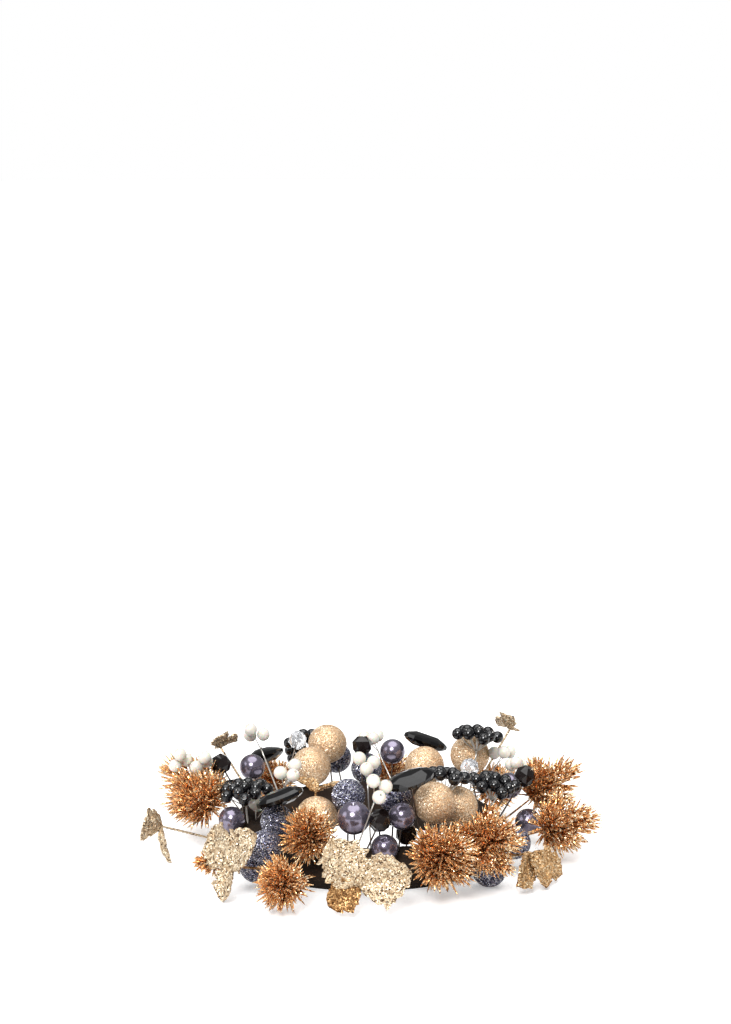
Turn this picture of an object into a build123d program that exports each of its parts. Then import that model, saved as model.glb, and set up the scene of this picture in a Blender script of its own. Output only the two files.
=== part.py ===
from build123d import *
from math import cos, pi, radians, sin, sqrt
import os

os.makedirs("parts", exist_ok=True)

# Frame: millimetres, +Z up, origin at the middle of the candle hole on the plane that the base stands on.
# The front, where the large leaves hang, faces -Y.
# A place on the ring is an angle round it, an angle round its section (0 outward, 90 up) and a lift,
# the share of the longest lift by which the ornament stands off the base. Two more numbers, where
# given, are the angles of the wire's foot, for a wire that leans past its neighbours.

# Base
candle_hole_diameter = 92
base_width = 26
shoulder_height = 6
crown_sides = 5
base_sides = 36
base_chamfer = 6

# Wires
wire_radius = 0.6
branch_wire_radius = 0.35
wire_sides = 4
branch_wire_sides = 3
pin_depth = 7
socket_depth = 4
wire_clearance = 0.15
seat_gap = 0.3
longest_lift = 36

# Glitter balls and pearls
gold_ball_radius = 10
navy_ball_radius = 8
large_pearl_radius = 8
pearl_radius = 6.5
ball_sides = 9
ball_latitudes = [-70, -35, 0, 35, 70]

# Faceted beads and stones
jet_radius = 5.5
crystal_radius = 4.8
gem_sides = 8
gem_latitudes = [-58, -20, 20, 58]
stone_length = 24
stone_breadth = 15
stone_girdle = 1.6
stone_crown_height = 2.8
stone_crown_inset = 3
stone_sides = 12

# Threaded beads
berry_radius = 2.8
white_bead_radius = 3.1
bead_sides = 6
bead_latitudes = [-54, 0, 54]
berry_spacing = 3.5
berry_dome_radius = 24
berry_fork_drop = 11
trio_spread = 3.9
trio_step = 2.2
trio_fork_drop = 9
bead_reach = 5

# Sprays of glitter needles, which leave the middles of the twig's sides in turn
needle_breadth = 1.2
needle_thickness = 1
twig_radius = 1.4
twig_sides = 6
twig_tip_share = 0.7
root_splay = 82
tip_splay = 12
needle_step = 5
golden_angle = 137.5

# Glitter leaves
leaf_thickness = 0.8
leaf_width_shares = [0.1, 0.42, 0.5, 0.4, 0.06]
leaf_station_shares = [0, 0.28, 0.55, 0.8, 1]
leaf_fold_share = 0.3
leaf_droop_share = 0.14

# Cuts run this far past the surface that they open
overrun = 1

# Worked out
hole_radius = candle_hole_diameter / 2
crown_radius = base_width / 2
centre_line_radius = hole_radius + crown_radius
base_height = shoulder_height + crown_radius


def tube_point(angle, section_angle, distance):
    """A point at a distance from the centre line of the base."""
    around, section = radians(angle), radians(section_angle)
    out = centre_line_radius + distance * cos(section)
    rise = shoulder_height + distance * sin(section)
    return Vector(out * cos(around), out * sin(around), rise)


def stem_of(place, reach, turn=0):
    """The planes at the foot of a wire and at its ornament's middle, both with z along the wire."""
    angle, section_angle, lift = place[:3]
    foot_angles = place[3:] or (angle, section_angle)
    foot = tube_point(*foot_angles, crown_radius)
    middle = tube_point(angle, section_angle, crown_radius + reach + lift * longest_lift)
    along = (middle - foot).normalized()
    across = Vector(-sin(radians(angle)), cos(radians(angle)), 0)
    level = (across - along * across.dot(along)).normalized()
    x_dir = level * cos(radians(turn)) + along.cross(level) * sin(radians(turn))
    return Plane(foot, x_dir=x_dir, z_dir=along), Plane(middle, x_dir=x_dir, z_dir=along)


def ray_plane(plane, splay, spin, rise=0):
    """A plane whose z leans by splay from the given plane's z, towards spin round it."""
    out = plane.x_dir * cos(radians(spin)) + plane.y_dir * sin(radians(spin))
    side = plane.y_dir * cos(radians(spin)) - plane.x_dir * sin(radians(spin))
    z_dir = plane.z_dir * cos(radians(splay)) + out * sin(radians(splay))
    return Plane(plane.origin + plane.z_dir * rise, x_dir=side, z_dir=z_dir)


def banded_points(radius, sides, latitudes):
    """The corners of a ball of flat facets, ring by ring."""
    turns = [2 * pi * i / sides for i in range(sides)]
    return [
        Vector(cos(radians(latitude)) * cos(turn), cos(radians(latitude)) * sin(turn), sin(radians(latitude)))
        * radius
        for latitude in latitudes
        for turn in turns
    ]


def save(built, name):
    """Labels a finished piece and writes its file."""
    built.part.label = name
    export_step(built.part, f"parts/{name}.step")


# Every wire's foot plane, for the holes in the base, and the straight wires that are pieces of their own
feet = []
pins = []


def wire_solid(plane, length, radius, sides):
    """A straight wire along the plane's z, as a solid that joins nothing yet."""
    turns = [2 * pi * i / sides for i in range(sides)]
    ends = [Vector(radius * cos(turn), radius * sin(turn), level) for level in (0, length) for turn in turns]
    return ConvexPolyhedron(ends, mode=Mode.PRIVATE).moved(plane.location)


def pin_up(foot, middle, bottom):
    """Makes the straight wire from the floor of its hole in the base into the socket of an ornament."""
    feet.append(foot)
    length = (middle.origin - foot.origin).length - bottom + socket_depth + pin_depth - 2 * seat_gap
    pins.append(wire_solid(foot.offset(seat_gap - pin_depth), length, wire_radius, wire_sides))


def cut_socket(middle, bottom):
    """The blind hole for the end of a wire, cut upwards from the underside. It needs an open BuildPart."""
    with BuildSketch(middle.offset(-bottom - overrun)) as mouth:
        RegularPolygon(wire_radius + wire_clearance, wire_sides)
    extrude(mouth.sketch, amount=socket_depth + overrun, mode=Mode.SUBTRACT)


def add_root_wire(foot, length):
    """The wire of a pick made in one piece, from the floor of its hole. It needs an open BuildPart."""
    feet.append(foot)
    add(wire_solid(foot.offset(seat_gap - pin_depth), length + pin_depth - seat_gap, wire_radius, wire_sides))


def build_balls(name, places, radii, sides=ball_sides, latitudes=ball_latitudes):
    """One node of balls, pearls or cut beads, each on a wire of its own."""
    with BuildPart() as balls:
        for place, radius in zip(places, radii):
            bottom = -radius * sin(radians(latitudes[0]))
            foot, middle = stem_of(place, radius)
            with Locations(middle.location):
                ConvexPolyhedron(banded_points(radius, sides, latitudes))
            cut_socket(middle, bottom)
            pin_up(foot, middle, bottom)
    save(balls, name)


# Gold glitter balls
gold_ball_shares = [
    (106, 64, 0.30),
    (120, 95, 0.03),
    (-115, 95, 0.09),
    (60, 88, 0.02),
    (42, 68, 0.28),
    (-61, 78, 0.36),
    (-40, 94, 0.12),
]
for number, place in enumerate(gold_ball_shares, 1):
    build_balls(f"gold_ball_{number}", [place], [gold_ball_radius])

# Navy glitter balls
navy_ball_shares = [
    (-131, 13, 0.02),
    (-124, 33, 0.30),
    (-135, 85, 0.02),
    (-99, 96, 0.47),
    (-76, 96, 0.46, -78, 96),
    (-46, 6, 0.12),
    (-25, 22, 0.02),
    (90, 50, 0.02),
    (100, 28, 0.46),
]
for number, place in enumerate(navy_ball_shares, 1):
    build_balls(f"navy_ball_{number}", [place], [navy_ball_radius])

# Pearls, in the bunches that are wired together, the first of the front bunch a large one
pearl_bunch_shares = {
    "front": [(-95, 71, 0.33), (-76, 72, 0.37), (-83, 55, 0.02)],
    "left": [(150, 74, 0.27), (-160, 57, 0.02)],
    "right": [(4, 65, 0.26), (3, 20, 0.10)],
    "back": [(78, 78, 0.26), (70, 40, 0.05)],
}
for side, places in pearl_bunch_shares.items():
    first_radius = large_pearl_radius if side == "front" else pearl_radius
    build_balls(f"pearls_{side}", places, [first_radius] + [pearl_radius] * (len(places) - 1))

# Jet beads with cut facets
jet_bunch_shares = {
    "front": [(-83.5, 102, 0.19), (-85, 62, 0.49, -91, 62), (-71, 92, 0.02)],
    "left": [(159, 57, 0.51)],
    "right": [(-3, 60, 0.56)],
    "back": [(92, 76, 0.36)],
}
for side, places in jet_bunch_shares.items():
    build_balls(f"jet_beads_{side}", places, [jet_radius] * len(places), gem_sides, gem_latitudes)

# Clear crystal beads
crystal_shares = [(121, 74, 0.53, 132, 68), (5, 102, 0.51)]
build_balls("crystal_beads", crystal_shares, [crystal_radius] * len(crystal_shares), gem_sides, gem_latitudes)


def stone_points():
    """The corners of an oval stone: a table, the two edges of the girdle, and a table below."""
    half_girdle = stone_girdle / 2
    rings = [
        (stone_crown_inset, -half_girdle - stone_crown_height),
        (0, -half_girdle),
        (0, half_girdle),
        (stone_crown_inset, half_girdle + stone_crown_height),
    ]
    turns = [2 * pi * i / stone_sides for i in range(stone_sides)]
    return [
        Vector((stone_length / 2 - inset) * cos(turn), (stone_breadth / 2 - inset) * sin(turn), level)
        for inset, level in rings
        for turn in turns
    ]


# Oval stones, each with the turn of its length round the wire
stone_shares = [
    (135, 64, 0.45),
    (-74, 73, 1.00, -66, 58),
    (65, 68, 0.53, 69, 68),
    (-130, 81, 0.53, -124, 81),
    (176, 79, 0.26),
]
stone_turns = [10, 10, 10, 60, 60]
stone_half_height = stone_girdle / 2 + stone_crown_height
for number, (place, turn) in enumerate(zip(stone_shares, stone_turns), 1):
    foot, middle = stem_of(place, stone_half_height, turn)
    with BuildPart() as stone:
        with Locations(middle.location):
            ConvexPolyhedron(stone_points())
        cut_socket(middle, stone_half_height)
    pin_up(foot, middle, stone_half_height)
    save(stone, f"oval_stone_{number}")


def add_beads(fork, planes, lengths, radius):
    """Beads on branch wires that leave a fork. It needs an open BuildPart."""
    bead = ConvexPolyhedron(banded_points(radius, bead_sides, bead_latitudes), mode=Mode.PRIVATE)
    wires = [wire_solid(p, length, branch_wire_radius, branch_wire_sides) for p, length in zip(planes, lengths)]
    beads = [bead.moved(plane.offset(length).location) for plane, length in zip(planes, lengths)]
    add(wires + beads)


# Sprigs of white beads in threes, one or two to a sprig
white_sprig_shares = {
    "front": [(-90, 96, 0.99, -88, 91), (-86, 62, 1.07, -96, 42)],
    "front_left": [(-134, 97, 0.77, -146, 97), (-171.5, 106, 0.097)],
    "left": [(168, 44, 0.91), (172, 57, 0.71, 166, 57)],
    "back": [(143, 74, 0.75, 143, 108), (88, 59, 0.54, 78, 59)],
    "right": [(32, 55, 0.62), (19, 55, 0.57)],
}
for side, places in white_sprig_shares.items():
    with BuildPart() as sprig:
        for place in places:
            foot, middle = stem_of(place, bead_reach)
            fork = middle.offset(-trio_fork_drop)
            add_root_wire(foot, (fork.origin - foot.origin).length)
            planes = []
            lengths = []
            for i in range(3):
                rise = trio_fork_drop - trio_step + trio_step * i
                length = sqrt(trio_spread**2 + rise**2)
                splay = Vector(rise, trio_spread, 0).get_angle(Vector(1, 0, 0))
                planes.append(ray_plane(fork, splay, 120 * i + place[0]))
                lengths.append(length)
            add_beads(fork, planes, lengths, white_bead_radius)
    save(sprig, f"white_sprig_{side}")

# Picks of round black berries, each berry on a short wire, with their counts
berry_pick_shares = [
    (-165, 84, 0.395),
    (111, 39, 0.70),
    (32, 79, 0.81),
    (-47, 91, 0.77, -55, 91),
    (-13, 81, 0.48),
]
berry_counts = [15, 12, 12, 10, 13]
for number, (place, count) in enumerate(zip(berry_pick_shares, berry_counts), 1):
    foot, middle = stem_of(place, bead_reach)
    fork = middle.offset(-berry_fork_drop)
    with BuildPart() as pick:
        add_root_wire(foot, (fork.origin - foot.origin).length)
        planes = []
        lengths = []
        for i in range(count):
            lean = berry_spacing * sqrt(i + 0.5) / berry_dome_radius
            rise = berry_fork_drop - berry_dome_radius * (1 - cos(lean))
            out = berry_dome_radius * sin(lean)
            planes.append(ray_plane(fork, Vector(rise, out, 0).get_angle(Vector(1, 0, 0)), golden_angle * i))
            lengths.append(sqrt(rise**2 + out**2))
        add_beads(fork, planes, lengths, berry_radius)
    save(pick, f"berry_pick_{number}")


def needle_points(length):
    """The corners of a three-sided needle that tapers to its point."""
    across, through = needle_breadth / 2, needle_thickness / 2
    return [Vector(-across, -through, 0), Vector(across, -through, 0), Vector(0, through, 0), Vector(0, 0, length)]


def twig_points(length):
    """The corners of a twig that tapers to its tip."""
    turns = [2 * pi * i / twig_sides for i in range(twig_sides)]
    ends = [(twig_radius, 0), (twig_radius * twig_tip_share, length)]
    return [Vector(radius * cos(turn), radius * sin(turn), level) for radius, level in ends for turn in turns]


# Copper sprays: a twig with needles all round it, given as twig length, needle length and count
spray_shares = [
    (-172, 45, 0.22),
    (163, 32, 0.23),
    (-147, 6, 0.25),
    (-110, 49, 0.21),
    (-111, 10, 0.75),
    (-67, 28, 0.24),
    (-52, 31, 0.32),
    (6, 38, 0.33),
    (-13, 19, 0.40),
    (40, 22, 0.15),
    (82, 20, 0.22),
    (125, 22, 0.15),
]
spray_sizes = [
    (13, 15, 38),
    (13, 14, 36),
    (6, 7, 22),
    (8, 14, 34),
    (6, 13, 34),
    (14, 17, 44),
    (16, 16, 44),
    (16, 15, 38),
    (15, 15, 38),
    (10, 13, 28),
    (10, 13, 28),
    (10, 13, 28),
]
for number, (place, (twig, needle, count)) in enumerate(zip(spray_shares, spray_sizes), 1):
    foot, root = stem_of(place, bead_reach)
    with BuildPart() as spray:
        add_root_wire(foot, (root.origin - foot.origin).length + seat_gap)
        with Locations(root.location):
            ConvexPolyhedron(twig_points(twig + twig_radius))
        needles = []
        for i in range(count):
            share = (i + 0.5) / count
            splay = root_splay + (tip_splay - root_splay) * share
            spin = 360 / twig_sides * (needle_step * i + 0.5)
            needles.append(ray_plane(root, splay, spin, twig * share).location)
        with Locations(*needles):
            ConvexPolyhedron(needle_points(needle))
    save(spray, f"copper_spray_{number}")


def add_leaf(plane, length, width):
    """A thin leaf from the plane's origin along its x, folded at the midrib and drooping to its tip."""
    stations = []
    for station, breadth in zip(leaf_station_shares, leaf_width_shares):
        along, across = length * station, width * breadth
        drop = -leaf_droop_share * length * station**2
        edge = drop + leaf_fold_share * across
        stations.append([Vector(along, 0, drop), Vector(along, across, edge), Vector(along, -across, edge)])
    thick = Vector(0, 0, leaf_thickness)
    cells = [
        [near[0], near[side], far[0], far[side]] for near, far in zip(stations, stations[1:]) for side in (1, 2)
    ]
    blade = [ConvexPolyhedron(cell + [p + thick for p in cell], mode=Mode.PRIVATE) for cell in cells]
    add([piece.moved(plane.location) for piece in blade])


# Sprigs of gold leaves: each leaf as spin round the wire, splay from it, length and width
leaf_sprig_shares = [
    (-92, 11, 0.75),
    (-128, 14, 0.75, -120, 12),
    (-165, 18, 0.78),
    (-37, 15, 0.60),
    (148, 50, 0.75),
    (38, 50, 1.00),
]
leaf_sets = [
    [(122, 80, 25, 22), (14, 80, 25, 23), (215, 80, 17, 15)],
    [(140, 80, 24, 21), (45, 80, 25, 20), (-95, 80, 17, 15)],
    [(0, 30, 15, 15), (-60, 105, 18, 8)],
    [(-148, 75, 22, 14), (-95, 60, 18, 14), (-40, 75, 23, 13)],
    [(180, 80, 15, 12), (60, 70, 13, 10)],
    [(-15, 75, 15, 14), (100, 70, 13, 10)],
]
for number, (place, leaves) in enumerate(zip(leaf_sprig_shares, leaf_sets), 1):
    foot, tip = stem_of(place, bead_reach)
    with BuildPart() as sprig:
        add_root_wire(foot, (tip.origin - foot.origin).length + leaf_thickness)
        for spin, splay, length, width in leaves:
            ray = ray_plane(tip, splay, spin)
            add_leaf(Plane(tip.origin, x_dir=ray.z_dir, z_dir=ray.z_dir.cross(ray.x_dir)), length, width)
    save(sprig, f"leaf_sprig_{number}")

# Straight wires that carry the balls, beads and stones, one solid each
with BuildPart() as pick_wires:
    add(pins)
save(pick_wires, "pick_wires")


def slice_points(angle):
    """The corners of one slice of the ring, from the given angle round it to the next."""
    corners = []
    for around in (angle, angle + 360 / base_sides):
        for side in range(crown_sides + 1):
            corners.append(tube_point(around, 180 * side / crown_sides, crown_radius))
        for reach in (hole_radius, hole_radius + base_width - base_chamfer):
            corners.append(Vector(reach * cos(radians(around)), reach * sin(radians(around)), 0))
    return corners


# The moulded base: a ring of flat-sided slices with a crown that takes the wires, and a round candle hole
with BuildPart() as base_ring:
    add([ConvexPolyhedron(slice_points(360 * i / base_sides), mode=Mode.PRIVATE) for i in range(base_sides)])
    Cylinder(hole_radius, base_height, align=(Align.CENTER, Align.CENTER, Align.MIN), mode=Mode.SUBTRACT)
    with BuildSketch(*[foot.offset(-pin_depth) for foot in feet]):
        RegularPolygon(wire_radius + wire_clearance, wire_sides)
    extrude(amount=pin_depth + 2 * overrun, mode=Mode.SUBTRACT)
save(base_ring, "base_ring")
print("wires", len(feet))
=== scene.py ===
from math import atan, cos, degrees, pi, radians, sin, sqrt
from random import Random

import bmesh
import bpy
from mathutils import Matrix, Vector, noise


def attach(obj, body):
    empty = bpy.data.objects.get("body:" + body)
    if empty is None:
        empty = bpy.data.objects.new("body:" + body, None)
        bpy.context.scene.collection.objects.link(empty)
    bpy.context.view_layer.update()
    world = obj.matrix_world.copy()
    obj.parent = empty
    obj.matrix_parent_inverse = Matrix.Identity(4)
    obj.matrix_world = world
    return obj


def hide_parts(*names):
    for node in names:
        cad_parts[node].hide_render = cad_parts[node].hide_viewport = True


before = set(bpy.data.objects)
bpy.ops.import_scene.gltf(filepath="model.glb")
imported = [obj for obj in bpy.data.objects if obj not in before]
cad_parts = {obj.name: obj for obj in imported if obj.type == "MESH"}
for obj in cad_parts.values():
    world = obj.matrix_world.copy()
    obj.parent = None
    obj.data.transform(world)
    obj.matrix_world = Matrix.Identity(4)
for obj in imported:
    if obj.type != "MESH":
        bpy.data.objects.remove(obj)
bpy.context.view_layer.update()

# Candle ring: glitter balls, pearls, cut beads, berries, sprays and leaves, on wires in a base ring
# Metres, +Z up, and the side that shows in the photograph faces -Y
mm = 0.001
golden_angle = 137.5

# Base, with the sizes of the CAD source, and the dents and pits of its foam
centre_line_radius = 59 * mm
crown_radius = 13 * mm
shoulder_height = 6 * mm
base_chamfer = 6 * mm
foam_crown_radius = 0.97 * crown_radius
crown_steps = 40
base_sides = 360
dent_depth = 0.5 * mm
dent_spacing = 4 * mm
pit_depth = 0.35 * mm
pit_spacing = 1.6 * mm

# Wires. A seat share says how far below its middle an ornament takes its wire.
longest_lift = 36 * mm
pin_depth = 6 * mm
bead_reach = 5 * mm
wire_radius = 0.42 * mm
branch_wire_radius = 0.24 * mm
trio_wire_radius = 1.5 * branch_wire_radius
spray_wire_radius = 1.2 * wire_radius
leaf_wire_radius = 1.4 * wire_radius
wire_steps = 8
wire_sides = 8
branch_sag_share = 0.03
ball_seat_share = 0.6
bead_seat_share = 0.5
stone_seat_share = 0.4

# Glitter. Real flakes are about 0.2 mm wide, and here they are as coarse as it takes to show them.
flake = 0.4 * mm
navy_flake = 1.2 * flake
needle_flake = 2 * flake
leaf_flake = 0.65 * mm

# Balls. Their flakes rise and shift by shares of a flake, and each ball is turned further than the
# last, in degrees.
gold_ball_radius = 10 * mm
navy_ball_radius = 8 * mm
ball_turn = 50
ball_subdivisions = 6
flake_rise_share = 0.1
flake_shift_share = 0.3

# Beads, each with the radius of its drilled hole
large_pearl_radius = 8 * mm
pearl_radius = 6.5 * mm
pearl_hole = 0.9 * mm
pearl_bands = 28
pearl_sides = 48
berry_radius = 3.1 * mm
berry_hole = 0.45 * mm
white_bead_radius = 3.3 * mm
white_bead_hole = 0.7 * mm
bead_bands = 12
bead_sides = 20
wire_past_bead_share = 1.04

# Berry picks and trios of white beads
berry_seed = 200
berry_spacing = 3.5 * mm
berry_dome_radius = 24 * mm
berry_fork_drop = 11 * mm
trio_spread = 3.9 * mm
trio_step = 2.2 * mm
trio_fork_drop = 9 * mm

# Cut beads and oval stones
jet_radius = 5.5 * mm
crystal_radius = 4.8 * mm
cut_sides = 8
cut_latitudes = (-62, -22, 22, 62)
stone_length = 24 * mm
stone_breadth = 15 * mm
stone_girdle = 1.6 * mm
stone_crown_height = 2.8 * mm
stone_kite_inset = 1.8 * mm
stone_kite_rise = 1.3 * mm
stone_table_inset = 5.2 * mm

# Sprays. Angles are in degrees, and spreads go both ways. A fill is the count of needles for each one
# in the CAD source. The last two rings of a needle's faces and its ends have the tips' finish, a
# lighter copy of the copper glitter as painted light; the rest of the needle and the twigs have the
# darker copy, as painted shade in the tuft.
spray_seed = 400
needle_stop_shares = (0, 0.16, 0.34, 0.52, 0.7, 0.86, 1)
needle_radii = [radius * mm for radius in (0.28, 0.52, 0.66, 0.68, 0.6, 0.46, 0.14)]
needle_sides = 5
needle_finishes = [0] * 4 * needle_sides + [1] * (2 * needle_sides + 2)
needle_bend_share = 0.06
needle_roughness_share = 0.45
needle_flatness_share = 0.6
needle_length_shares = (0.85, 1.12)
needle_root_splay = 82
needle_tip_splay = 12
needle_splay_spread = 8
needle_spin_spread = 12
twig_radii = (1.1 * mm, 0.6 * mm)
twig_sides = 6
twig_roughness_share = 0.3
twig_fill = 4
side_twig_fill = 1.6
side_twig_length_share = 0.7
side_needle_length_share = 0.72
side_twig_splays = (42, 58)
side_twig_spread_share = 0.2
side_twig_start_share = 0.25

# Leaves. A chip is how far a flake sits off the leaf's face.
leaf_seed = 600
leaf_cell = 0.55 * mm
leaf_thickness = 0.8 * mm
leaf_crumple = 1.1 * mm
leaf_chip = 0.16 * mm
leaf_fold_share = 0.3
leaf_droop_share = 0.14
leaf_wave_share = 0.2
leaf_notch_share = 0.3
waves_along = 7
notches_along = 13
crumples_along = 5
crumples_across = 2.5
half_width_shares = (
    (0, 0.05), (0.12, 0.26), (0.3, 0.44), (0.52, 0.5), (0.75, 0.43), (0.9, 0.27), (1, 0.03)
)

# The lowest needles stay this far above the table
table_gap = 1.2 * mm

# Camera, lights and floor
camera_elevation = radians(16)
camera_distance = 1.4
camera_x = -0.5 * mm
look_height = 21 * mm
sensor_size = 36
focal_pixels = 2800
frame_height_pixels = 1024
ring_below_middle_pixels = 298
floor_radius = 6
floor_glow = 0.35
sky_light = 0.3


# Shapes

class Shape:
    """The corners and faces of one piece while it is made. Each face has the number of its finish."""

    def __init__(self):
        self.points = []
        self.faces = []
        self.finishes = []

    def add(self, points, faces, finish=0):
        """Adds corners and faces, with one finish for all the faces or a list of one for each."""
        start = len(self.points)
        self.points.extend(points)
        self.faces.extend([start + corner for corner in face] for face in faces)
        self.finishes.extend(finish if isinstance(finish, list) else [finish] * len(faces))


def make_piece(name, shape, finishes, nodes=(), smooth=True):
    """Turns a shape into an object that rides on the body and stands for the CAD nodes."""
    mesh = bpy.data.meshes.new(name)
    mesh.from_pydata(shape.points, [], shape.faces)
    for finish in finishes:
        mesh.materials.append(finish)
    mesh.polygons.foreach_set("material_index", shape.finishes)
    mesh.polygons.foreach_set("use_smooth", [smooth] * len(shape.faces))
    mesh.validate()
    piece = bpy.data.objects.new(name, mesh)
    bpy.context.collection.objects.link(piece)
    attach(piece, "root")
    if nodes:
        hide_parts(*nodes)


def ring_faces(rings, sides, closed_ends=True):
    """Faces between rings of corners, one after another, with a flat face at each end."""
    faces = []
    for ring in range(rings - 1):
        for side in range(sides):
            following = (side + 1) % sides
            low, high = ring * sides, (ring + 1) * sides
            faces.append([low + side, low + following, high + following, high + side])
    if closed_ends:
        faces.append(list(reversed(range(sides))))
        faces.append(list(range((rings - 1) * sides, rings * sides)))
    return faces


def spread_of(draw, spread):
    """A random value up to the spread, either way."""
    return draw.uniform(-spread, spread)


def side_of(direction):
    """A direction at right angles to the given one."""
    return direction.orthogonal().normalized()


def add_tube(shape, centres, radii, sides, finish=0, draw=None, rough=0, flat=1):
    """A closed tube through the centres. Rough varies its corners, flat presses it to a strip."""
    along = (centres[-1] - centres[0]).normalized()
    across = side_of(along)
    if draw:
        across.rotate(Matrix.Rotation(draw.uniform(0, 2 * pi), 3, along))
    other = along.cross(across) * flat
    points = []
    for centre, radius in zip(centres, radii):
        for side in range(sides):
            turn = 2 * pi * side / sides
            reach = radius * (1 + (spread_of(draw, rough) if draw else 0))
            points.append(centre + across * (reach * cos(turn)) + other * (reach * sin(turn)))
    shape.add(points, ring_faces(len(centres), sides), finish)


def add_lathe(shape, plane, profile, sides):
    """A form turned round the plane's z. The profile is a closed loop of radius and height."""
    rings = len(profile)
    turns = [2 * pi * side / sides for side in range(sides)]
    points = [
        plane @ Vector((radius * cos(turn), radius * sin(turn), height))
        for radius, height in profile
        for turn in turns
    ]
    faces = ring_faces(rings, sides, closed_ends=False)
    last = (rings - 1) * sides
    faces += [[last + i, last + (i + 1) % sides, (i + 1) % sides, i] for i in range(sides)]
    shape.add(points, faces)


def add_hull(shape, plane, points):
    """The closed form of flat facets round the points."""
    flat_enough = radians(1)
    hull = bmesh.new()
    for point in points:
        hull.verts.new(point)
    bmesh.ops.convex_hull(hull, input=hull.verts)
    bmesh.ops.dissolve_limit(hull, angle_limit=flat_enough, verts=hull.verts, edges=hull.edges)
    hull.verts.index_update()
    corners = [plane @ vert.co for vert in hull.verts]
    shape.add(corners, [[vert.index for vert in face.verts] for face in hull.faces])
    hull.free()


def plane_at(origin, z_dir, x_dir):
    """The matrix of a plane, from its origin, its z and a direction near its x."""
    z_dir = z_dir.normalized()
    y_dir = z_dir.cross(x_dir).normalized()
    x_dir = y_dir.cross(z_dir)
    turned = Matrix((x_dir, y_dir, z_dir)).transposed()
    return Matrix.Translation(origin) @ turned.to_4x4()


def tube_point(angle, section_angle, distance):
    """A point at a distance from the centre line of the base."""
    around, section = radians(angle), radians(section_angle)
    out = centre_line_radius + distance * cos(section)
    rise = shoulder_height + distance * sin(section)
    return Vector((out * cos(around), out * sin(around), rise))


def stem_of(place, reach, turn=0):
    """The planes at the foot of a wire and at its ornament's middle, both with z along the wire."""
    angle, section_angle, lift = place[:3]
    foot_angles = place[3:] or (angle, section_angle)
    foot = tube_point(*foot_angles, crown_radius)
    middle = tube_point(angle, section_angle, crown_radius + reach + lift * longest_lift)
    along = (middle - foot).normalized()
    across = Vector((-sin(radians(angle)), cos(radians(angle)), 0))
    level = (across - along * across.dot(along)).normalized()
    x_dir = level * cos(radians(turn)) + along.cross(level) * sin(radians(turn))
    return plane_at(foot, along, x_dir), plane_at(middle, along, x_dir)


def ray(plane, splay, spin):
    """The direction that leans by splay from the plane's z, towards spin round it."""
    out = Vector((cos(radians(spin)), sin(radians(spin)), 0)) * sin(radians(splay))
    return (plane.to_3x3() @ (out + Vector((0, 0, cos(radians(splay)))))).normalized()


def pin_of(foot):
    """Where a wire ends inside the base, from the plane at its foot."""
    return foot @ Vector((0, 0, -pin_depth))


def add_wire(shape, start, end, radius=wire_radius, finish=0, sag=0.0):
    """A drawn wire from one point to another. Sag bends it by a share of its length."""
    along = end - start
    bend = side_of(along.normalized()) * sag * along.length
    centres = [
        start + along * (i / wire_steps) + bend * sin(pi * i / wire_steps)
        for i in range(wire_steps + 1)
    ]
    add_tube(shape, centres, [radius] * len(centres), wire_sides, finish)


# Materials

def linear(code):
    """The linear colour of an sRGB hex code, with its alpha."""
    values = [int(code[i:i + 2], 16) / 255 for i in (1, 3, 5)]
    return [v / 12.92 if v <= 0.04045 else ((v + 0.055) / 1.055) ** 2.4 for v in values] + [1]


def add_node(tree, kind, links=None, **settings):
    """A node with its settings. Each entry of links is a value or another node's output, by input."""
    node = tree.nodes.new(kind)
    for name, value in settings.items():
        setattr(node, name, value)
    for entry, value in (links or {}).items():
        if isinstance(value, bpy.types.NodeSocket):
            tree.links.new(value, node.inputs[entry])
        else:
            node.inputs[entry].default_value = value
    return node


def new_finish(name):
    """An empty material, its node tree and its output node."""
    finish = bpy.data.materials.new(name)
    finish.use_nodes = True
    finish.node_tree.nodes.clear()
    return finish, finish.node_tree, add_node(finish.node_tree, "ShaderNodeOutputMaterial")


def colour_stops(node, stops):
    """Sets the stops of a colour ramp from pairs of place and hex colour."""
    ramp = node.color_ramp
    while len(ramp.elements) > 1:
        ramp.elements.remove(ramp.elements[-1])
    for i, (place, code) in enumerate(stops):
        element = ramp.elements[0] if i == 0 else ramp.elements.new(place)
        element.position = place
        element.color = linear(code)


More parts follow.
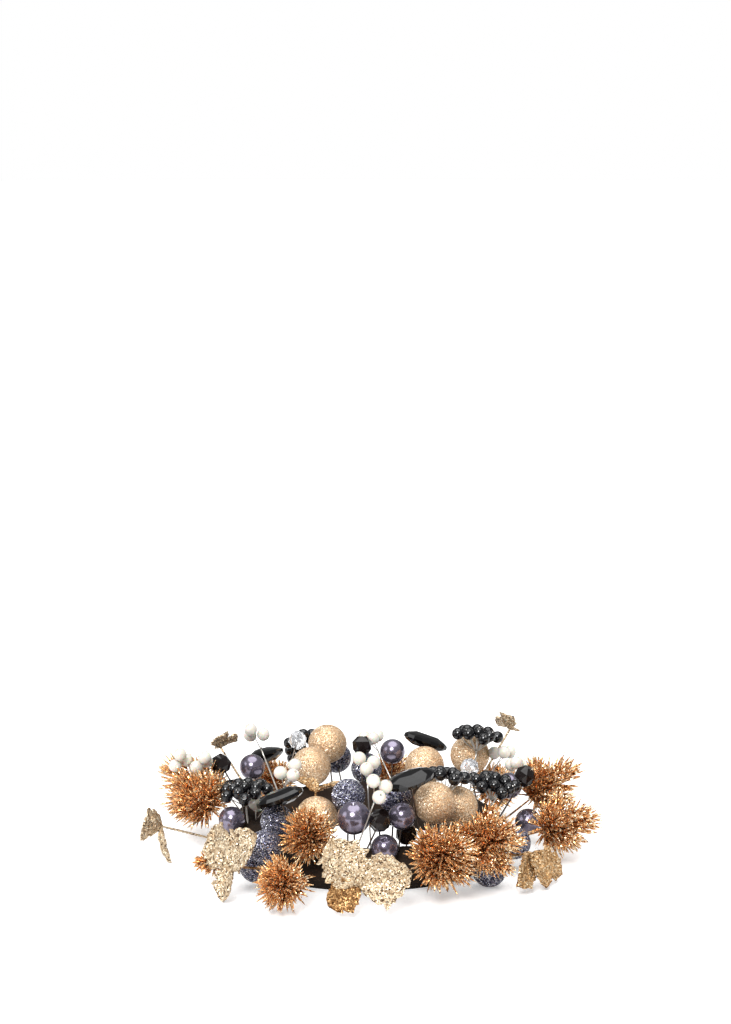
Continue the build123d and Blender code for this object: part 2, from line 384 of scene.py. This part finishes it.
def glitter(name, stops, size, tilt, roughness, metallic):
    """Metallised film, cut to flakes and glued on: it sparkles, because each flake has a shade, a
    tilt and a gloss of its own."""
    gloss_spread = 0.4
    finish, tree, output = new_finish(name)
    place = add_node(tree, "ShaderNodeTexCoord").outputs["Object"]
    flakes = add_node(tree, "ShaderNodeTexVoronoi", {"Vector": place, "Scale": 1 / size})
    colour = flakes.outputs["Color"]
    parts = add_node(tree, "ShaderNodeSeparateColor", {"Color": colour})
    shade = add_node(tree, "ShaderNodeValToRGB", {"Fac": parts.outputs["Red"]})
    colour_stops(shade, stops)
    centred = {0: colour, 1: (0.5, 0.5, 0.5)}
    lean = add_node(tree, "ShaderNodeVectorMath", centred, operation="SUBTRACT")
    scaled = {0: lean.outputs[0], "Scale": tilt}
    leaned = add_node(tree, "ShaderNodeVectorMath", scaled, operation="SCALE")
    surface = add_node(tree, "ShaderNodeNewGeometry").outputs["Normal"]
    both = {0: surface, 1: leaned.outputs[0]}
    total = add_node(tree, "ShaderNodeVectorMath", both, operation="ADD")
    normal = add_node(tree, "ShaderNodeVectorMath", {0: total.outputs[0]}, operation="NORMALIZE")
    gloss = add_node(tree, "ShaderNodeMapRange", {
        "Value": parts.outputs["Green"],
        "To Min": roughness * (1 - gloss_spread),
        "To Max": roughness * (1 + gloss_spread),
    })
    film = add_node(tree, "ShaderNodeBsdfPrincipled", {
        "Base Color": shade.outputs["Color"],
        "Metallic": metallic,
        "Roughness": gloss.outputs["Result"],
        "Normal": normal.outputs[0],
    })
    tree.links.new(film.outputs["BSDF"], output.inputs["Surface"])
    return finish


def gloss_plastic(name, code, second, roughness, coat=0.0, metallic=0.0, grain=0.0,
                  grain_size=1 * mm, ior=1.5, subsurface=0.0):
    """A moulded plastic, smooth or grained, with a second shade that drifts over it."""
    bump_height, drift_size, subsurface_depth = 0.1 * mm, 6 * mm, 1.5 * mm
    finish, tree, output = new_finish(name)
    place = add_node(tree, "ShaderNodeTexCoord").outputs["Object"]
    uneven = add_node(tree, "ShaderNodeTexNoise", {
        "Vector": place,
        "Scale": 1 / grain_size,
        "Detail": 3.0,
    })
    bump = add_node(tree, "ShaderNodeBump", {
        "Height": uneven.outputs["Fac"],
        "Strength": grain,
        "Distance": bump_height,
    })
    drift = add_node(tree, "ShaderNodeTexNoise", {
        "Vector": place,
        "Scale": 1 / drift_size,
        "Detail": 2.0,
    })
    shade = add_node(tree, "ShaderNodeValToRGB", {"Fac": drift.outputs["Fac"]})
    colour_stops(shade, [(0.3, code), (0.7, second)])
    plastic = add_node(tree, "ShaderNodeBsdfPrincipled", {
        "Base Color": shade.outputs["Color"],
        "Metallic": metallic,
        "Roughness": roughness,
        "IOR": ior,
        "Coat Weight": coat,
        "Coat Roughness": 0.05,
        "Subsurface Weight": subsurface,
        "Subsurface Scale": subsurface_depth,
        "Normal": bump.outputs["Normal"],
    })
    tree.links.new(plastic.outputs["BSDF"], output.inputs["Surface"])
    return finish


def clear_acrylic():
    """Clear acrylic, cut and polished: bright facets with a faint cool tint."""
    scuff_size = 1.5 * mm
    finish, tree, output = new_finish("clear_acrylic")
    place = add_node(tree, "ShaderNodeTexCoord").outputs["Object"]
    scuff = add_node(tree, "ShaderNodeTexNoise", {
        "Vector": place,
        "Scale": 1 / scuff_size,
        "Detail": 2.0,
    })
    gloss = add_node(tree, "ShaderNodeMapRange", {
        "Value": scuff.outputs["Fac"],
        "To Min": 0.02,
        "To Max": 0.1,
    })
    glass = add_node(tree, "ShaderNodeBsdfPrincipled", {
        "Base Color": linear("#fafcff"),
        "Roughness": gloss.outputs["Result"],
        "IOR": 1.49,
        "Transmission Weight": 0.8,
    })
    tree.links.new(glass.outputs["BSDF"], output.inputs["Surface"])
    return finish


def drawn_steel(name, code):
    """Drawn steel wire: a soft sheen, broken by the fine grain that the die leaves."""
    grain_size = 0.3 * mm
    finish, tree, output = new_finish(name)
    place = add_node(tree, "ShaderNodeTexCoord").outputs["Object"]
    grain = add_node(tree, "ShaderNodeTexNoise", {
        "Vector": place,
        "Scale": 1 / grain_size,
        "Detail": 3.0,
    })
    gloss = add_node(tree, "ShaderNodeMapRange", {
        "Value": grain.outputs["Fac"],
        "To Min": 0.2,
        "To Max": 0.45,
    })
    steel = add_node(tree, "ShaderNodeBsdfPrincipled", {
        "Base Color": linear(code),
        "Metallic": 1.0,
        "Roughness": gloss.outputs["Result"],
    })
    tree.links.new(steel.outputs["BSDF"], output.inputs["Surface"])
    return finish


# Glitter on the balls, sprays and leaves: pale gold, navy, copper in a darker copy as painted shade
# and a lighter copy for the tips as painted light, champagne, a deeper gold, and bronze where the film
# of a leaf's underside shows
gold_glitter = glitter(
    "gold_glitter",
    [(0.0, "#9c7552"), (0.35, "#cfa981"), (0.75, "#e0c29e"), (1.0, "#fff3dc")],
    flake, tilt=0.6, roughness=0.38, metallic=0.55,
)
navy_glitter = glitter(
    "navy_glitter",
    [(0.0, "#1b1b24"), (0.5, "#55556a"), (0.75, "#9a9ab0"), (1.0, "#ffffff")],
    navy_flake, tilt=1.3, roughness=0.22, metallic=0.7,
)
# Darker copy of the copper glitter: painted shade on the needles and twigs inside the tuft
copper_glitter = glitter(
    "copper_glitter",
    [(0.0, "#84461f"), (0.35, "#d08d53"), (0.75, "#f4c289"), (1.0, "#fff8e0")],
    needle_flake, tilt=1.3, roughness=0.2, metallic=0.75,
)
# Lighter copy of the copper glitter: painted light on the needle tips
copper_tips_painted_light = glitter(
    "copper_tip_glitter_painted_light",
    [(0.0, "#c0763a"), (0.3, "#f0b373"), (0.65, "#ffdba6"), (1.0, "#fff8e2")],
    needle_flake, tilt=1.2, roughness=0.22, metallic=0.75,
)
champagne_glitter = glitter(
    "champagne_leaf_glitter",
    [(0.0, "#2e1f13"), (0.14, "#6c5238"), (0.28, "#b69b7a"), (0.7, "#cbb696"), (1.0, "#fff4dd")],
    leaf_flake, tilt=0.8, roughness=0.35, metallic=0.55,
)
golden_leaf_glitter = glitter(
    "golden_leaf_glitter",
    [(0.0, "#4a3018"), (0.18, "#876339"), (0.4, "#b2895a"), (0.75, "#cea878"), (1.0, "#ffeecb")],
    leaf_flake, tilt=0.8, roughness=0.35, metallic=0.6,
)
bronze_leaf_glitter = glitter(
    "bronze_leaf_underside",
    [(0.0, "#4a2d15"), (0.5, "#93683b"), (1.0, "#e0b67e")],
    leaf_flake, tilt=0.8, roughness=0.35, metallic=0.7,
)

# Pearl lacquer sprayed on moulded beads: a soft metallic sheen with a sharp highlight
pearl_lacquer = gloss_plastic(
    "pearl_lacquer", "#77707f", "#8a8396", 0.2, coat=0.3, metallic=0.8, grain=0.02
)

# Acrylic, moulded and polished, in black and in smoky brown: each facet shows a clean reflection
jet_acrylic = gloss_plastic("jet_acrylic", "#060607", "#0b0b0c", 0.09, ior=1.46)
brown_jet = gloss_plastic("smoked_jet_acrylic", "#100b0a", "#1a1312", 0.09, ior=1.46)

# Milky styrene beads, moulded and lacquered: light goes a little way in and softens their shade
milky_bead = gloss_plastic("milky_bead", "#d6d1c5", "#e0dcd2", 0.22, coat=0.3, subsurface=0.4)

# Black lacquered beads: small sharp highlights
black_berry = gloss_plastic("black_berry", "#08080a", "#0e0e11", 0.13, coat=0.25)

# Moulded foam, its dark brown darkened to near black as painted shade, so that the base reads as
# shadow
# between the ornaments: matt, with a fine open grain
base_foam = gloss_plastic(
    "base_foam", "#1d140e", "#2b2018", 0.95, grain=0.8, grain_size=0.8 * mm, ior=1.3
)

crystal_acrylic = clear_acrylic()

# Bright wire for the picks and sprigs, and wire darkened by annealing for the straight stems
steel_wire = drawn_steel("bright_steel_wire", "#d4d1cb")
annealed_wire = drawn_steel("annealed_steel_wire", "#6b625b")


# Pieces

def add_stem(wires, place, reach, depth, turn=0):
    """The straight wire from the base into an ornament, and the plane at the ornament's middle."""
    foot, middle = stem_of(place, reach, turn)
    add_wire(wires, pin_of(foot), middle @ Vector((0, 0, -depth)))
    return middle


def ball_of_flakes(radius, draw):
    """The corners and faces of a ball whose every flake leans its own way."""
    ball = bmesh.new()
    bmesh.ops.create_icosphere(ball, subdivisions=ball_subdivisions, radius=radius)
    corners = []
    for vert in ball.verts:
        rise = spread_of(draw, flake_rise_share) * flake / radius
        shift = [spread_of(draw, flake_shift_share) * flake for _ in range(3)]
        corners.append(vert.co * (1 + rise) + Vector(shift))
    faces = [[vert.index for vert in face.verts] for face in ball.faces]
    ball.free()
    return corners, faces


def glitter_balls(name, places, radius, finish):
    """Balls in a coat of glitter, one node each, turned to differ."""
    corners, faces = ball_of_flakes(radius, Random(len(name)))
    for number, place in enumerate(places, 1):
        middle = add_stem(stem_wires, place, radius, radius * ball_seat_share, ball_turn * number)
        shape = Shape()
        shape.add([middle @ corner for corner in corners], faces)
        piece_name = f"{name}_{number}_glittered"
        make_piece(piece_name, shape, [finish], [f"{name}_{number}"], smooth=False)


def drilled_profile(radius, hole, bands):
    """The profile of a round bead with a drilled hole."""
    start = atan(hole / radius)
    turns = [start + (pi - 2 * start) * i / bands for i in range(bands + 1)]
    return [(radius * sin(turn), -radius * cos(turn)) for turn in turns]


def pearls(side, places, first_radius=pearl_radius):
    """Round pearls on wires, the first of them in a size of its own."""
    shape = Shape()
    for place, radius in zip(places, [first_radius] + [pearl_radius] * len(places)):
        middle = add_stem(stem_wires, place, radius, radius * ball_seat_share)
        add_lathe(shape, middle, drilled_profile(radius, pearl_hole, pearl_bands), pearl_sides)
    name = f"pearls_{side}"
    make_piece(f"{name}_lacquered", shape, [pearl_lacquer], [name])


def cut_bead_points(radius):
    """Corners of a cut bead, each ring turned by half a facet against the last."""
    points = []
    for ring, latitude in enumerate(cut_latitudes):
        out, rise = cos(radians(latitude)), sin(radians(latitude))
        for i in range(cut_sides):
            turn = 2 * pi * (i + ring / 2) / cut_sides
            points.append(Vector((out * cos(turn), out * sin(turn), rise)) * radius)
    return points


def cut_beads(node, places, radius, finish):
    """Beads with flat cut facets, on wires."""
    shape = Shape()
    for place in places:
        middle = add_stem(stem_wires, place, radius, radius * bead_seat_share)
        add_hull(shape, middle, cut_bead_points(radius))
    make_piece(f"{node}_cut", shape, [finish], [node], smooth=False)


def oval_stone(number, place, turn):
    """An oval stone: a girdle, a crown of kite facets and a flat table on each side."""
    half = stone_girdle / 2 + stone_crown_height
    middle = add_stem(stem_wires, place, half, half * stone_seat_share, turn)
    points = []
    for inset, level, sides, shift in (
        (0, stone_girdle / 2, 16, 0),
        (stone_kite_inset, stone_girdle / 2 + stone_kite_rise, 12, 0.5),
        (stone_table_inset, half, 6, 0.5),
    ):
        for i in range(sides):
            around = 2 * pi * (i + shift) / sides
            x = (stone_length / 2 - inset) * cos(around)
            y = (stone_breadth / 2 - inset) * sin(around)
            points += [Vector((x, y, level)), Vector((x, y, -level))]
    shape = Shape()
    add_hull(shape, middle, points)
    name = f"oval_stone_{number}"
    make_piece(f"{name}_cut", shape, [jet_acrylic], [name], smooth=False)


def threaded_beads(beads, wires, fork, steps, radius, hole, draw):
    """Beads on branch wires that leave a fork, each drilled along its wire. A step is the bead's
    distance out from the fork's z, its rise above the fork and its spin round it."""
    origin = fork.translation
    for out, rise, spin in steps:
        along = ray(fork, degrees(atan(out / rise)), spin)
        centre = origin + along * sqrt(out**2 + rise**2)
        end = centre + along * radius * wire_past_bead_share
        add_wire(wires, origin, end, branch_wire_radius, sag=spread_of(draw, branch_sag_share))
        plane = plane_at(centre, along, side_of(along))
        add_lathe(beads, plane, drilled_profile(radius, hole, bead_bands), bead_sides)


def berry_pick(number, place, count):
    """A domed bunch of black berries on silvery wires."""
    foot, middle = stem_of(place, bead_reach)
    fork = middle @ Matrix.Translation((0, 0, -berry_fork_drop))
    berries, wires = Shape(), Shape()
    add_wire(wires, pin_of(foot), fork.translation)
    steps = []
    for i in range(count):
        lean = berry_spacing * sqrt(i + 0.5) / berry_dome_radius
        rise = berry_fork_drop - berry_dome_radius * (1 - cos(lean))
        steps.append((berry_dome_radius * sin(lean), rise, golden_angle * i))
    draw = Random(berry_seed + number)
    threaded_beads(berries, wires, fork, steps, berry_radius, berry_hole, draw)
    name = f"berry_pick_{number}"
    make_piece(f"{name}_berries", berries, [black_berry], [name])
    make_piece(f"{name}_wires", wires, [steel_wire])


def white_sprig(side, places):
    """Milky white beads in threes on thin wires."""
    draw = Random(len(side))
    beads, wires = Shape(), Shape()
    for place in places:
        foot, middle = stem_of(place, bead_reach)
        fork = middle @ Matrix.Translation((0, 0, -trio_fork_drop))
        add_wire(wires, pin_of(foot), fork.translation, trio_wire_radius)
        lowest = trio_fork_drop - trio_step
        steps = [(trio_spread, lowest + trio_step * i, 120 * i + place[0]) for i in range(3)]
        threaded_beads(beads, wires, fork, steps, white_bead_radius, white_bead_hole, draw)
    name = f"white_sprig_{side}"
    make_piece(f"{name}_beads", beads, [milky_bead], [name])
    make_piece(f"{name}_wires", wires, [steel_wire])


def add_needle(shape, start, along, length, draw):
    """A flat needle in glitter, slightly bent, clear of the table, and lighter towards its tip as
    painted light.
    """
    if start.z + along.z * length < table_gap:
        length = (start.z - table_gap) / -along.z
    bend = side_of(along)
    bend.rotate(Matrix.Rotation(draw.uniform(0, 2 * pi), 3, along))
    centres = [
        start + along * (length * share) + bend * (length * needle_bend_share * share * share)
        for share in needle_stop_shares
    ]
    add_tube(shape, centres, needle_radii, needle_sides, needle_finishes, draw,
             rough=needle_roughness_share, flat=needle_flatness_share)


def side_twig_planes(root, twig, count, draw):
    """The planes at the roots of the side twigs, with z along them."""
    planes = []
    for i in range(count):
        splay = draw.uniform(*side_twig_splays)
        along = ray(root, splay, 360 * (i + spread_of(draw, side_twig_spread_share)) / count)
        start = root @ Vector((0, 0, twig * draw.uniform(0, side_twig_start_share)))
        planes.append(plane_at(start, along, side_of(along)))
    return planes


def add_twig(shape, plane, length, reach, needles, draw):
    """A twig along the plane's z with needles all round, splayed less towards its tip."""
    tip = plane @ Vector((0, 0, length))
    add_tube(shape, [plane.translation, tip], twig_radii, twig_sides, 0, draw,
             rough=twig_roughness_share)
    for i in range(needles):
        share = (i + 0.5) / needles
        splay = needle_root_splay - (needle_root_splay - needle_tip_splay) * share
        splay += spread_of(draw, needle_splay_spread)
        along = ray(plane, splay, golden_angle * i + spread_of(draw, needle_spin_spread))
        start = plane @ Vector((0, 0, length * share))
        add_needle(shape, start, along, reach * draw.uniform(*needle_length_shares), draw)


def copper_spray(number, place, twig, needle, count, side_twigs):
    """A glittered fir tuft: needles round a twig, and round shorter side twigs."""
    draw = Random(spray_seed + number)
    foot, root = stem_of(place, bead_reach)
    shape = Shape()
    add_wire(shape, pin_of(foot), root.translation, spray_wire_radius)
    side_planes = side_twig_planes(root, twig, side_twigs, draw)
    add_twig(shape, root, twig, needle, count * twig_fill, draw)
    side_twig, side_needle = twig * side_twig_length_share, needle * side_needle_length_share
    for plane in side_planes:
        add_twig(shape, plane, side_twig, side_needle, int(count * side_twig_fill), draw)
    name = f"copper_spray_{number}"
    # Painted shade on the needles and twigs, painted light on the tips
    finishes = [copper_glitter, copper_tips_painted_light]
    make_piece(f"{name}_needles", shape, finishes, [name], smooth=False)


def half_width(share):
    """The half width of a leaf at a share of its length, as a share of its width."""
    for (low, before), (high, after) in zip(half_width_shares, half_width_shares[1:]):
        if share <= high:
            blend = (share - low) / (high - low)
            return before + (after - before) * (3 * blend**2 - 2 * blend**3)
    return half_width_shares[-1][1]


def leaf_grid(length, width, rows, columns, draw):
    """The corners of a leaf's face, along x from its stalk: crumpled, folded at the midrib,
    drooping to its tip and ragged at its rim."""
    seed = draw.uniform(0, 100)
    grid = []
    for row in range(rows + 1):
        share = row / rows
        wave = 1 + leaf_wave_share * noise.noise(Vector((share * waves_along, seed, 0)))
        for column in range(columns + 1):
            side = 2 * column / columns - 1
            rim_place = Vector((share * notches_along, seed, 3 * (side > 0) + 1))
            rim = 1 + leaf_notch_share * noise.noise(rim_place) * abs(side) ** 3
            across = side * half_width(share) * width * wave * rim
            fold_place = Vector((share * crumples_along, side * crumples_across, seed))
            rise = leaf_fold_share * abs(across) - leaf_droop_share * length * share**2
            rise += leaf_crumple * noise.noise(fold_place)
            chip = Vector([spread_of(draw, leaf_chip) for _ in range(3)])
            grid.append(Vector((length * share, across, rise)) + chip)
    return grid


def add_leaf(shape, plane, length, width, draw, upper_finish):
    """A closed leaf in flake glitter. Its underside always has finish 1."""
    rows = int(length / leaf_cell)
    columns = int(width / leaf_cell)
    columns += columns % 2
    grid = leaf_grid(length, width, rows, columns, draw)
    upper = [plane @ (point + Vector((0, 0, leaf_thickness))) for point in grid]
    lower = [plane @ point for point in grid]
    below = len(grid)
    stride = columns + 1
    upper_faces = []
    for row in range(rows):
        for column in range(columns):
            a = row * stride + column
            upper_faces.append([a, a + 1, a + stride + 1, a + stride])
    lower_faces = [[below + corner for corner in reversed(face)] for face in upper_faces]
    rim = list(range(stride))
    rim += [row * stride + columns for row in range(1, rows + 1)]
    rim += [rows * stride + column for column in range(columns - 1, -1, -1)]
    rim += [row * stride for row in range(rows - 1, 0, -1)]
    rim_faces = [[b, a, below + a, below + b] for a, b in zip(rim, rim[1:] + rim[:1])]
    faces = upper_faces + rim_faces + lower_faces
    finish = [upper_finish] * (len(upper_faces) + len(rim_faces)) + [1] * len(lower_faces)
    shape.add(upper + lower, faces, finish)


def leaf_sprig(number, place, leaves, finishes, turned, nodes):
    """Leaves in flake glitter on one wire. The turned ones have the underside's finish above too."""
    draw = Random(leaf_seed + number)
    foot, tip = stem_of(place, bead_reach)
    shape = Shape()
    add_wire(shape, pin_of(foot), tip.translation, leaf_wire_radius, 1)
    for leaf, (spin, splay, length, width) in enumerate(leaves):
        along = ray(tip, splay, spin)
        side = tip.to_3x3() @ Vector((-sin(radians(spin)), cos(radians(spin)), 0))
        plane = plane_at(tip.translation, along.cross(side), along)
        add_leaf(shape, plane, length * mm, width * mm, draw, 1 if leaf in turned else 0)
    name = f"leaf_sprig_{number}_leaves"
    make_piece(name, shape, finishes, nodes, smooth=False)


def base_ring():
    """The moulded foam ring that the wires are pushed into, with its candle hole."""
    shape = Shape()
    inner = centre_line_radius - crown_radius
    outer = centre_line_radius + crown_radius
    profile = [(inner, 0), (outer - base_chamfer, 0)]
    for i in range(crown_steps + 1):
        turn = pi * i / crown_steps
        out = centre_line_radius + foam_crown_radius * cos(turn)
        profile.append((out, shoulder_height + foam_crown_radius * sin(turn)))
    add_lathe(shape, Matrix.Identity(4), profile, base_sides)
    for point in shape.points:
        if point.z > 0:
            dents = dent_depth * noise.noise(point / dent_spacing)
            pits = pit_depth * noise.noise(point / pit_spacing)
            point.z += (dents + pits) * min(1, point.z / shoulder_height)
    # The foam's near black colour is painted shade
    make_piece("base_ring_foam", shape, [base_foam], ["base_ring"])


# Places: angle round the ring, angle round its section, lift as a share of the longest lift, and the
# foot's two angles where the wire leans

stem_wires = Shape()

glitter_balls("gold_ball", [
    (106, 64, 0.30), (120, 95, 0.03), (-115, 95, 0.09), (60, 88, 0.02),
    (42, 68, 0.28), (-61, 78, 0.36), (-40, 94, 0.12),
], gold_ball_radius, gold_glitter)

glitter_balls("navy_ball", [
    (-131, 13, 0.02), (-124, 33, 0.30), (-135, 85, 0.02), (-99, 96, 0.47),
    (-76, 96, 0.46, -78, 96), (-46, 6, 0.12), (-25, 22, 0.02), (90, 50, 0.02), (100, 28, 0.46),
], navy_ball_radius, navy_glitter)

pearls("front", [(-95, 71, 0.33), (-76, 72, 0.37), (-83, 55, 0.02)], large_pearl_radius)
pearls("left", [(150, 74, 0.27), (-160, 57, 0.02)])
pearls("right", [(4, 65, 0.26), (3, 20, 0.10)])
pearls("back", [(78, 78, 0.26), (70, 40, 0.05)])

for side, places in (
    ("front", [(-83.5, 102, 0.19), (-85, 62, 0.49, -91, 62), (-71, 92, 0.02)]),
    ("left", [(159, 57, 0.51)]),
    ("right", [(-3, 60, 0.56)]),
    ("back", [(92, 76, 0.36)]),
):
    cut_beads(f"jet_beads_{side}", places, jet_radius, brown_jet)
crystals = [(121, 74, 0.53, 132, 68), (5, 102, 0.51)]
cut_beads("crystal_beads", crystals, crystal_radius, crystal_acrylic)

# Each stone: its place and its turn round its wire
for number, (place, turn) in enumerate([
    ((135, 64, 0.45), 10),
    ((-74, 73, 1.00, -66, 58), 10),
    ((65, 68, 0.53, 69, 68), 10),
    ((-130, 81, 0.53, -124, 81), 60),
    ((176, 79, 0.26), 60),
], 1):
    oval_stone(number, place, turn)

white_sprig("front", [(-90, 96, 0.99, -88, 91), (-86, 62, 1.07, -96, 42)])
white_sprig("front_left", [(-134, 97, 0.77, -146, 97), (-171.5, 106, 0.097)])
white_sprig("left", [(168, 44, 0.91), (172, 57, 0.71, 166, 57)])
white_sprig("back", [(143, 74, 0.75, 143, 108), (88, 59, 0.54, 78, 59)])
white_sprig("right", [(32, 55, 0.62), (19, 55, 0.57)])

# Each berry pick: its place and its count of berries
for number, (place, count) in enumerate([
    ((-165, 84, 0.395), 15),
    ((111, 39, 0.70), 12),
    ((32, 79, 0.81), 12),
    ((-47, 91, 0.77, -55, 91), 10),
    ((-13, 81, 0.48), 13),
], 1):
    berry_pick(number, place, count)

# Each spray: its place, the length of its twig and needles in millimetres, its count of needles in
# the CAD source and its count of side twigs
for number, (place, twig, needle, count, side_twigs) in enumerate([
    ((-172, 45, 0.22), 13, 15, 38, 5),
    ((163, 32, 0.23), 17, 17, 36, 5),
    ((-147, 6, 0.25), 6, 7, 22, 0),
    ((-110, 49, 0.21), 9, 15, 34, 5),
    ((-111, 10, 0.75), 7, 14.5, 34, 4),
    ((-67, 28, 0.24), 15, 17.5, 44, 6),
    ((-52, 31, 0.32), 16, 16, 44, 5),
    ((6, 38, 0.33), 16, 15, 38, 5),
    ((-13, 19, 0.4), 15, 15, 38, 5),
    ((40, 22, 0.15), 10, 13, 28, 5),
    ((82, 20, 0.22), 10, 13, 28, 5),
    ((125, 22, 0.15), 10, 13, 28, 5),
], 1):
    copper_spray(number, place, twig * mm, needle * mm, count, side_twigs)

# Each leaf sprig: its place, its leaves, the finishes above and below, and its turned leaves. A leaf
# is its spin round the wire, its splay from it, its length and its width in millimetres. The CAD
# source lacks the last sprig, a small one over the front bunch.
champagne = [champagne_glitter, bronze_leaf_glitter]
golden = [golden_leaf_glitter, bronze_leaf_glitter]
pale = [champagne_glitter, champagne_glitter]
leaf_sprigs = [
    ((-92, 11, 0.75), [(122, 80, 25, 22), (14, 80, 25, 23), (215, 80, 17, 15)], champagne, [2]),
    ((-128, 14, 0.75, -120, 12), [(140, 80, 24, 21), (45, 80, 25, 20), (-95, 80, 17, 15)],
     champagne, []),
    ((-165, 18, 0.78), [(0, 30, 15, 15), (-60, 105, 18, 8)], pale, []),
    ((-37, 15, 0.6), [(-148, 75, 22, 14), (-95, 60, 18, 14), (-40, 75, 23, 13)], golden, []),
    ((148, 50, 0.75), [(180, 80, 15, 12), (60, 70, 13, 10)], pale, []),
    ((38, 50, 1.0), [(-15, 75, 15, 14), (100, 70, 13, 10)], pale, []),
    ((-118, 101, 0.55), [(25, 66, 18, 12), (165, 66, 16, 11)], golden, []),
]
for number, (place, leaves, finishes, turned) in enumerate(leaf_sprigs, 1):
    nodes = [f"leaf_sprig_{number}"] if number < len(leaf_sprigs) else []
    leaf_sprig(number, place, leaves, finishes, turned, nodes)

base_ring()
make_piece("stem_wires", stem_wires, [annealed_wire], ["pick_wires"])


# Floor, light and camera

def floor():
    """A white floor that keeps the object's shadow and is otherwise lost in the white background."""
    bpy.ops.mesh.primitive_circle_add(
        vertices=64, radius=floor_radius, fill_type="NGON", location=(0, 0, 0)
    )
    piece = bpy.context.object
    piece.name = "floor"
    finish, tree, output = new_finish("white_floor")
    paper = add_node(tree, "ShaderNodeBsdfDiffuse", {"Color": linear("#f4f4f4")})
    rays = add_node(tree, "ShaderNodeLightPath")
    white = {"Color": linear("#ffffff"), "Strength": floor_glow}
    glow = add_node(tree, "ShaderNodeEmission", white)
    both = add_node(tree, "ShaderNodeAddShader", {0: paper.outputs[0], 1: glow.outputs[0]})
    seen = add_node(tree, "ShaderNodeMixShader", {
        "Fac": rays.outputs["Is Camera Ray"],
        1: paper.outputs[0],
        2: both.outputs[0],
    })
    tree.links.new(seen.outputs[0], output.inputs["Surface"])
    piece.data.materials.append(finish)


def lamp(name, place, strength, spread):
    """A soft light from far off, from the place towards the ring, as wide as its spread in degrees."""
    light = bpy.data.lights.new(name, "SUN")
    light.energy = strength
    light.angle = radians(spread)
    piece = bpy.data.objects.new(name, light)
    piece.rotation_mode = "QUATERNION"
    piece.rotation_quaternion = (-Vector(place)).to_track_quat("-Z", "Y")
    bpy.context.collection.objects.link(piece)


def surroundings():
    """A studio: white where the camera sees it or the clear beads let it through, dimmer as light."""
    world = bpy.data.worlds.new("studio")
    bpy.context.scene.world = world
    world.use_nodes = True
    tree = world.node_tree
    tree.nodes.clear()
    rays = add_node(tree, "ShaderNodeLightPath").outputs
    seen = {0: rays["Is Camera Ray"], 1: rays["Is Transmission Ray"]}
    either = add_node(tree, "ShaderNodeMath", seen, operation="MAXIMUM")
    level = add_node(tree, "ShaderNodeMapRange", {
        "Value": either.outputs[0],
        "To Min": sky_light,
        "To Max": 1.0,
    })
    sky = add_node(tree, "ShaderNodeBackground", {
        "Color": linear("#ffffff"),
        "Strength": level.outputs["Result"],
    })
    output = add_node(tree, "ShaderNodeOutputWorld")
    tree.links.new(sky.outputs[0], output.inputs["Surface"])


def camera():
    """The photograph's view, from the front and above, which looks over the ring."""
    data = bpy.data.cameras.new("camera")
    data.sensor_width = sensor_size
    data.lens = sensor_size * focal_pixels / frame_height_pixels
    piece = bpy.data.objects.new("camera", data)
    back = camera_distance * cos(camera_elevation)
    rise = camera_distance * sin(camera_elevation)
    piece.location = (camera_x, -back, look_height + rise)
    tilt = atan(ring_below_middle_pixels / focal_pixels)
    piece.rotation_euler = (pi / 2 - camera_elevation + tilt, 0, 0)
    bpy.context.collection.objects.link(piece)
    bpy.context.scene.camera = piece


floor()
surroundings()
lamp("front_light", (-0.2, -1.0, 0.8), strength=2.9, spread=22)
lamp("top_light", (0.0, -0.05, 1.0), strength=2.4, spread=64)
lamp("left_light", (-1.1, -0.3, 0.5), strength=0.4, spread=30)
camera()
bpy.context.scene.view_settings.view_transform = "Standard"
